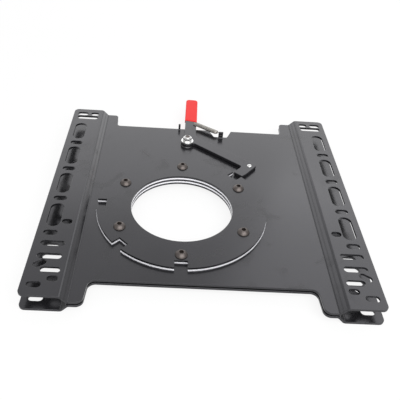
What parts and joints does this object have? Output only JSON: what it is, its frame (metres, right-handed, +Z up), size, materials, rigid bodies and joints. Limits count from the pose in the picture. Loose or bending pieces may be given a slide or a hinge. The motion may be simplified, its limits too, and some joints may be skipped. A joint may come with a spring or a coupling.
{
  "type": "swivel seat base",
  "caption": "Flat steel swivel for a vehicle seat: two slotted plates with stepped wings turning on an open-centred slip-ring bearing, with a notched lock disc and a sprung hand lever.",
  "frame": {"origin": "swivel axis, level with the underside of the lower plate's flat middle", "axes": "+X to the right, +Y to the back where the handle points, +Z up along the swivel axis"},
  "size_m": [0.4592, 0.5104, 0.0352],
  "materials": {
    "black_paint": "satin black powder coat",
    "disc_black": "satin black",
    "slip_plastic": "plain white plastic",
    "screw_steel": "dark plated steel",
    "lever_black": "satin black powder coat",
    "grip_red": "glossy dipped coating",
    "zinc": "bright zinc plate",
    "spring_wire": "bright spring wire"
  },
  "bodies": {
    "base": {"lower_plate": "black_paint", "lower_slip_ring": "slip_plastic", "hub_ring": "disc_black", "upper_slip_ring": "slip_plastic", "lock_disc": "disc_black", "disc_screw_1": "screw_steel", "disc_screw_2": "screw_steel", "disc_screw_3": "screw_steel", "disc_screw_4": "screw_steel", "disc_screw_5": "screw_steel", "disc_screw_6": "screw_steel", "disc_nut_1": "screw_steel", "disc_nut_2": "screw_steel", "disc_nut_3": "screw_steel", "disc_nut_4": "screw_steel", "disc_nut_5": "screw_steel", "disc_nut_6": "screw_steel"},
    "turntable": {"upper_plate": "black_paint", "pivot_stud": "zinc", "pivot_bush": "zinc", "lever_washer": "zinc", "pivot_washer": "zinc", "pivot_nut": "zinc", "return_spring": "spring_wire"},
    "lever": {"lever": "lever_black", "lever_grip": "grip_red", "lever_rivet": "zinc"}
  },
  "joints": [
    {"name": "swivel", "type": "hinge", "parent": "base", "child": "turntable", "pos_m": [0, 0, 0], "axis": [0, 0, 1], "range_deg": [-180, 180]},
    {"name": "lever_pivot", "type": "hinge", "parent": "turntable", "child": "lever", "pos_m": [0.00778, 0.17748, 0.0106], "axis": [0, 0, 1], "range_deg": [-6.74, 8.9], "stiffness_Nm_per_rad": 3, "springref_deg": -17.19, "deforming": ["return_spring"]}
  ]
}
